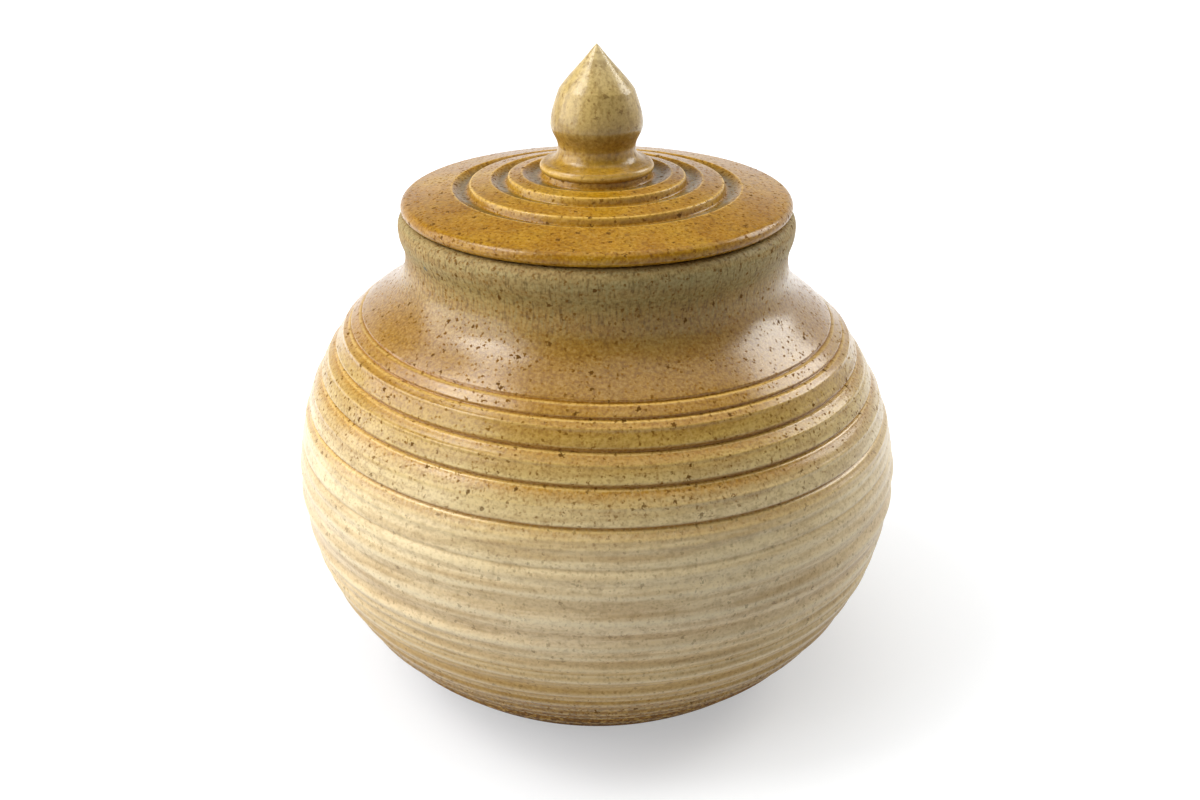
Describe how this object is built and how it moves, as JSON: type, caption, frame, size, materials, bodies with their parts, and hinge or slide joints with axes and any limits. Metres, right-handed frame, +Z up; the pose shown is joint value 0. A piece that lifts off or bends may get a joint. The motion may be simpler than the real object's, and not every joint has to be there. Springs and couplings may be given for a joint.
{
  "type": "lidded stoneware canister",
  "caption": "Round thrown stoneware canister with throwing ridges, a short neck, and a flat ringed lid with a pointed bud knob that lifts off.",
  "frame": {"origin": "centre of the foot ring, on the surface the jar stands on", "axes": "+Z up along the axis that the jar, lid and knob were turned about; -Y is the side facing the picture's camera"},
  "size_m": [0.1798, 0.1798, 0.1875],
  "materials": {
    "jar_glaze": "satin oatmeal glaze, amber over the shoulder, with iron specks",
    "lid_glaze": "glossy amber glaze with iron specks",
    "knob_glaze": "glossy straw glaze with iron specks"
  },
  "bodies": {
    "jar": {"jar_body": "jar_glaze"},
    "lid": {"lid_disc": "lid_glaze", "lid_knob": "knob_glaze"}
  },
  "joints": [
    {"name": "lid_lift", "type": "slide", "parent": "jar", "child": "lid", "axis": [0, 0, 1], "range_m": [0, 0.06]}
  ]
}
